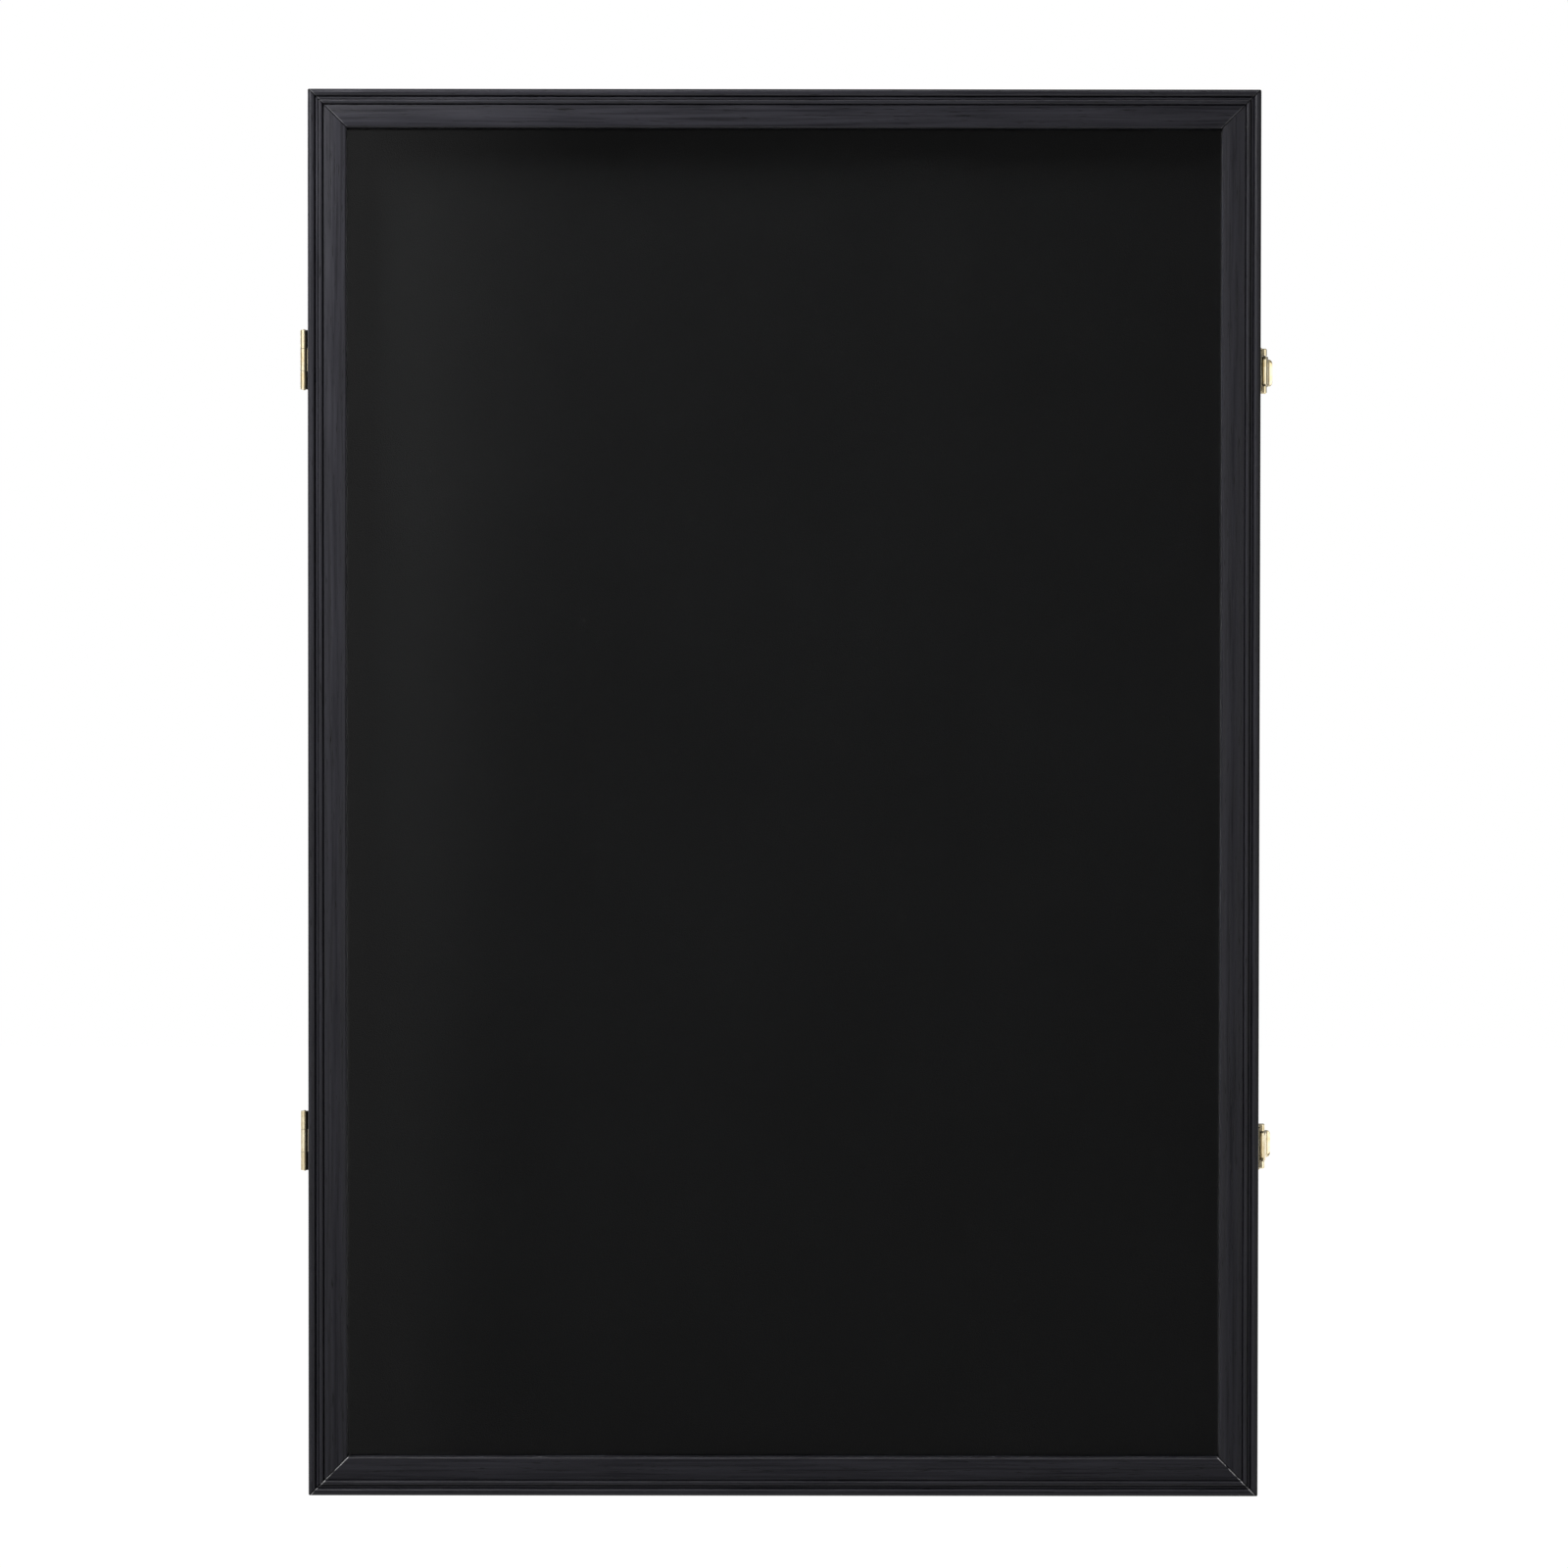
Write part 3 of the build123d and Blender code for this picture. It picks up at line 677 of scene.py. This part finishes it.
bpy.ops.object.select_all(action="DESELECT")
bpy.ops.mesh.primitive_grid_add(
    x_subdivisions=round(felt_width / felt_cell),
    y_subdivisions=round(felt_length / felt_cell),
    size=1.0,
    location=(0, felt_low.y, 0),
    rotation=(math.pi / 2, 0, 0),
)
felt = bpy.context.object
felt.name = "felt_sheet"
felt.scale = (felt_width, felt_length, 1)
bpy.ops.object.transform_apply(location=True, rotation=True, scale=True)
print("felt cells", len(felt.data.polygons))

# %% Felt waves, rim and thickness
felt_crease_angle = math.radians(50)


def run_modifier(obj, name, kind, **settings):
    """Add a modifier with its settings and apply it."""
    bpy.context.view_layer.objects.active = obj
    made = obj.modifiers.new(name, kind)
    for key, value in settings.items():
        setattr(made, key, value)
    bpy.ops.object.modifier_apply(modifier=name)


wave_clouds = bpy.data.textures.new("felt_waves", "CLOUDS")
wave_clouds.noise_scale = felt_wave_size
run_modifier(
    felt, "waves", "DISPLACE",
    texture=wave_clouds, texture_coords="GLOBAL", direction="Y", strength=felt_wave, mid_level=0.0,
)
run_modifier(felt, "thickness", "SOLIDIFY", thickness=felt_thickness - felt_wave, offset=-1.0)
bpy.ops.object.mode_set(mode="EDIT")
bpy.ops.mesh.select_all(action="DESELECT")
bpy.ops.object.mode_set(mode="OBJECT")
felt_front = felt_low.y + felt_wave + felt_rim
rim_x = felt_high.x - felt_cell / 2
rim_z = felt_high.z - felt_cell / 2
for vertex in felt.data.vertices:
    at_rim = abs(vertex.co.x) > rim_x or abs(vertex.co.z) > rim_z
    vertex.select = at_rim and vertex.co.y < felt_front
bpy.ops.object.mode_set(mode="EDIT")
bpy.ops.transform.translate(value=(0, felt_rim, 0))
bpy.ops.object.mode_set(mode="OBJECT")
bpy.ops.object.shade_smooth_by_angle(angle=felt_crease_angle)
print("felt sheet in mm:", in_mm(felt.dimensions))

# %% Felt cloth
felt_dark = (0.0018, 0.0018, 0.0019)
felt_light = (0.0078, 0.0078, 0.0082)
felt_gloss = {"Roughness": 0.95, "Specular IOR Level": 0.05, "Sheen Weight": 0.005, "Sheen Roughness": 0.6}
nap_scale = 1500
nap_share = 0.7
nap_height = 0.00025
hair_scale = 3200
hair_stretch = (1, 1, 0.25)
hair_height = 0.0001
pressed_scale = 6
pressed_share = 0.3

felt_cloth, tree, shader, place = new_finish("black_felt")
nap = stretched_noise(tree, place, evenly, nap_scale, detail=6.0)
hair = stretched_noise(tree, place, hair_stretch, hair_scale, detail=2.0)
pressed = stretched_noise(tree, place, evenly, pressed_scale)
nap_shade = calculate(tree, "MULTIPLY", spread_between(tree, nap, 0, 1), nap_share)
shade = calculate(tree, "ADD", nap_shade, spread_between(tree, pressed, 0, pressed_share))
tree.links.new(blend_colours(tree, shade, felt_dark, felt_light), shader.inputs["Base Color"])
for socket, value in felt_gloss.items():
    shader.inputs[socket].default_value = value
add_relief(tree, shader, [(nap, nap_height), (hair, hair_height)])
felt.data.materials.append(felt_cloth)
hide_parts("felt_lining")
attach(felt, body_of_node["felt_lining"])
print("felt cut in mm:", in_mm((felt_width, felt_length)))

# %% [markdown]
# ## Screws with a cross recess
#
# The solids have plain screws, because the recess is too fine for them. Here one screw
# of each size is modelled well and copied to its seats. The head starts as a cone,
# which is given a slightly domed top in edit mode, and a tapered cross is cut out of it
# with a Boolean. A recess in the bump alone would not catch the light as its walls do.

# %% Helpers for the screws
# A face whose normal has this share of one axis looks along it
nearly_straight = 0.9


def select_faces(obj, wanted):
    """Select the faces that the test picks out and nothing else, and leave edit mode open."""
    bpy.ops.object.mode_set(mode="EDIT")
    bpy.ops.mesh.select_mode(type="FACE")
    bpy.ops.mesh.select_all(action="DESELECT")
    bpy.ops.object.mode_set(mode="OBJECT")
    for face in obj.data.polygons:
        face.select = wanted(face)
    bpy.ops.object.mode_set(mode="EDIT")


recess_width = 0.34
recess_taper = 0.35


def add_cross_cutter(reach, depth):
    """Two tapered wedges at right angles, standing in the head from its top down."""
    wedges = []
    for turn in (0, math.pi / 2):
        bpy.ops.object.select_all(action="DESELECT")
        bpy.ops.mesh.primitive_cube_add(size=1.0, location=(0, 0, 0))
        wedge = bpy.context.object
        wedge.scale = (2 * reach, reach * recess_width, 2 * depth)
        wedge.rotation_euler = (0, 0, turn)
        bpy.ops.object.transform_apply(location=True, rotation=True, scale=True)
        select_faces(wedge, lambda face: face.normal.z < -nearly_straight)
        bpy.ops.transform.resize(value=(recess_taper, recess_taper, 1.0))
        bpy.ops.object.mode_set(mode="OBJECT")
        wedges.append(wedge)
    run_modifier(wedges[0], "join", "BOOLEAN", operation="UNION", object=wedges[1], solver="EXACT")
    bpy.data.objects.remove(wedges[1])
    return wedges[0]


# %% One countersunk screw
# Radius of the shank, radius of the head, and length
screw_sizes = {
    "hinge_screw": (0.0011, 0.0021, 0.010),
    "latch_screw": (0.0010, 0.00185, 0.009),
    "panel_screw": (0.0013, 0.0026, 0.014),
}
screw_sides = 32
# Shares of the head's radius
head_rim = 0.12
head_crown = 0.3
head_rise = 0.03
recess_reach = 0.55
recess_depth = 0.42
# Shares that the shank keeps at its foot and at its point
shank_taper = 0.8
point_taper = 0.1
metal_crease_angle = math.radians(35)


def model_screw(name, shank, head, length):
    """A countersunk screw along Z with its head's top at the origin; lengths in metres."""
    bpy.ops.object.select_all(action="DESELECT")
    bpy.ops.mesh.primitive_cone_add(
        vertices=screw_sides,
        radius1=shank,
        radius2=head,
        depth=head - shank,
        location=(0, 0, (shank - head) / 2),
    )
    screw = bpy.context.object
    screw.name = name
    select_faces(screw, lambda face: face.normal.z > nearly_straight)
    for ring in (head_rim, head_crown):
        bpy.ops.mesh.inset(thickness=head * ring)
        bpy.ops.transform.translate(value=(0, 0, head * head_rise))
    bpy.ops.object.mode_set(mode="OBJECT")
    select_faces(screw, lambda face: face.normal.z < -nearly_straight)
    for run, taper in ((length - head, shank_taper), (shank, point_taper)):
        bpy.ops.mesh.extrude_region_move(TRANSFORM_OT_translate={"value": (0, 0, -run)})
        bpy.ops.transform.resize(value=(taper, taper, 1.0))
    bpy.ops.object.mode_set(mode="OBJECT")
    cutter = add_cross_cutter(head * recess_reach, head * recess_depth)
    run_modifier(screw, "recess", "BOOLEAN", operation="DIFFERENCE", object=cutter, solver="EXACT")
    bpy.data.objects.remove(cutter)
    bpy.ops.object.select_all(action="DESELECT")
    screw.select_set(True)
    bpy.context.view_layer.objects.active = screw
    bpy.ops.object.shade_smooth_by_angle(angle=metal_crease_angle)
    return screw


screws = {name: model_screw(name, *size) for name, size in screw_sizes.items()}
head_radius = {name: head for name, (shank, head, length) in screw_sizes.items()}
print("faces of each screw:", {name: len(screw.data.polygons) for name, screw in screws.items()})

# %% [markdown]
# ## A screw in every seat
#
# Each group of screws replaces the plain group in the model and rides on the same body.
# The seats are worked out from the corners of the plain group, so the screws stay where
# the holes are. Only the spacing inside the back panel's rows is given as a number. A
# driver never stops twice at the same angle, so each recess is turned.

# %% Copies in seats
driver_turn = 37


def seat_screws(node, master, seats, outward, metal):
    """One piece that holds a copy of the screw in each seat, its head towards outward."""
    copies = []
    facing = Vector(outward).to_track_quat("Z", "Y").to_matrix().to_4x4()
    for place in seats:
        copy = master.copy()
        copy.data = master.data.copy()
        bpy.context.collection.objects.link(copy)
        turn = math.radians(driver_turn * (len(copies) + len(node)) % 90)
        copy.matrix_world = facing
        copy.location = place
        copy.rotation_euler.rotate_axis("Z", turn)
        copies.append(copy)
    bpy.ops.object.select_all(action="DESELECT")
    for copy in copies:
        copy.select_set(True)
    bpy.context.view_layer.objects.active = copies[0]
    bpy.ops.object.join()
    bpy.ops.object.transform_apply(location=True, rotation=True, scale=True)
    group = bpy.context.object
    group.name = f"{node}_cross_recess"
    group.data.materials.append(metal)
    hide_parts(node)
    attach(group, body_of_node[node])


# %% Screws in their seats
panel_seat_across = 0.245
panel_seat_up = 0.391


def two_seats(node, head, face):
    """Seats of two screws one above the other, from the corners of their node."""
    low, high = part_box(node)
    if face == "right":
        return [(high.x, (low.y + high.y) / 2, z) for z in (low.z + head, high.z - head)]
    y = low.y if face == "front" else high.y
    return [((low.x + high.x) / 2, y, z) for z in (low.z + head, high.z - head)]


for side in ("upper", "lower"):
    for part, kind, face, outward in (
        ("hinge_box_screws", "hinge_screw", "front", (0, -1, 0)),
        ("hinge_door_screws", "hinge_screw", "back", (0, 1, 0)),
        ("latch_base_screws", "latch_screw", "right", (1, 0, 0)),
        ("latch_strike_screws", "latch_screw", "right", (1, 0, 0)),
    ):
        node = f"{side}_{part}"
        seats = two_seats(node, head_radius[kind], face)
        seat_screws(node, screws[kind], seats, outward, brass)

panel_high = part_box("back_panel_screws")[1]
panel_x = panel_high.x - head_radius["panel_screw"]
panel_z = panel_high.z - head_radius["panel_screw"]
panel_seats = []
for columns, rows in (
    ((-panel_seat_across, panel_seat_across), (-panel_z, panel_z)),
    ((-panel_x, panel_x), (-panel_seat_up, 0, panel_seat_up)),
):
    panel_seats += [(x, panel_high.y, z) for x in columns for z in rows]
seat_screws("back_panel_screws", screws["panel_screw"], panel_seats, (0, 1, 0), zinc)
for master in screws.values():
    bpy.data.objects.remove(master)
print("screws in the back panel:", len(panel_seats))

# %% [markdown]
# ## Latch levers, bent from a blank
#
# A real lever is stamped flat from brass sheet, rolled round its pin, humped over the
# strike and flared into a finger tab. The solid has straight runs between its bends,
# and a flat run mirrors a single shade. Here the blank is a grid whose tip is rounded
# column by column, and a Curve modifier bends it along the line of the metal, as the
# press does, so the light runs across it in bands. The line is drawn from the pin
# outwards, in millimetres: out from the case, then back from the pin.

# %% The line of the bends
millimetre = 0.001
bend_steps = 16
roll_radius = 1.55
roll_angles = range(60, 360, 50)
lever_line = (
    (1.55, 0.1), (2.25, 3.0), (2.75, 6.5), (2.9, 9.6), (2.75, 11.2), (2.1, 12.2), (1.0, 12.65),
    (-0.8, 13.1), (-1.4, 13.9), (-0.7, 14.6), (1.2, 15.0), (3.4, 15.9), (4.9, 17.1), (6.9, 17.7),
)


def add_bend_line(centre):
    """The curve that the sheet follows in plan: round the pin, over the hump and out to the tab."""
    turns = [math.radians(angle) for angle in roll_angles]
    rolled = [(roll_radius * math.cos(turn), roll_radius * math.sin(turn)) for turn in turns]
    bpy.ops.curve.primitive_bezier_curve_add(location=(0, 0, 0))
    line = bpy.context.object
    line.data.dimensions = "2D"
    line.data.resolution_u = bend_steps
    points = line.data.splines[0].bezier_points
    points.add(len(rolled) + len(lever_line) - len(points))
    for point, (out, back) in zip(points, rolled + list(lever_line)):
        point.handle_left_type = point.handle_right_type = "AUTO"
        point.co = (centre.x + out * millimetre, centre.y + back * millimetre, 0)
    return line


print("points round the pin:", len(roll_angles), "and on to the tab:", len(lever_line))

# %% The blank, bent and given its thickness
lever_sheet = 0.0009
lever_taper_start = 0.6
lever_tip_round = 0.0026
lever_tip_share = 0.925
lever_columns = 120
lever_rows = 8
lever_edge = 0.00012
lever_edge_steps = 2
same_place = 0.000001


def model_lever(name, node, pin):
    """A lever of bent sheet in the place of the node, round the pin's axis."""
    low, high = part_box(node)
    pin_low, pin_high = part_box(pin)
    line = add_bend_line((pin_low + pin_high) / 2)
    bpy.context.view_layer.update()
    length = line.data.splines[0].calc_length()
    bpy.ops.object.select_all(action="DESELECT")
    bpy.ops.mesh.primitive_grid_add(
        x_subdivisions=lever_columns,
        y_subdivisions=lever_rows,
        size=1.0,
        location=(length / 2, 0, 0),
        rotation=(math.pi / 2, 0, 0),
    )
    lever = bpy.context.object
    lever.name = name
    lever.scale = (length, high.z - low.z, 1)
    bpy.ops.object.transform_apply(location=True, rotation=True, scale=True)
    taper_start = length * lever_taper_start
    round_start = length - lever_tip_round
    half = (high.z - low.z) / 2 * lever_tip_share
    for column in sorted({round(v.co.x, 6) for v in lever.data.vertices if v.co.x > taper_start}):
        share = 1 - (1 - lever_tip_share) * (column - taper_start) / (length - taper_start)
        if column > round_start:
            rise = math.sqrt(max(lever_tip_round**2 - (column - round_start) ** 2, 0))
            share *= (half - lever_tip_round + rise) / half
        for vertex in lever.data.vertices:
            vertex.select = abs(vertex.co.x - column) < same_place
        bpy.ops.object.mode_set(mode="EDIT")
        bpy.ops.transform.resize(value=(1, 1, share), center_override=(0, 0, 0))
        bpy.ops.mesh.select_all(action="DESELECT")
        bpy.ops.object.mode_set(mode="OBJECT")
    run_modifier(lever, "bend", "CURVE", object=line, deform_axis="POS_X")
    run_modifier(lever, "thickness", "SOLIDIFY", thickness=lever_sheet, offset=0.0)
    run_modifier(lever, "edges", "BEVEL", width=lever_edge, segments=lever_edge_steps, limit_method="ANGLE")
    bpy.data.objects.remove(line)
    lever.location = (0, 0, (low.z + high.z) / 2)
    bpy.ops.object.transform_apply(location=True, rotation=True, scale=True)
    bpy.ops.object.shade_smooth_by_angle(angle=metal_crease_angle)
    return lever


for side in ("upper", "lower"):
    node = f"{side}_latch_lever"
    lever = model_lever(f"{side}_bent_lever", node, f"{side}_latch_pin")
    lever.data.materials.append(brass)
    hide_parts(node)
    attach(lever, body_of_node[node])
    print(lever.name, "faces", len(lever.data.polygons), "size in mm:", in_mm(lever.dimensions))
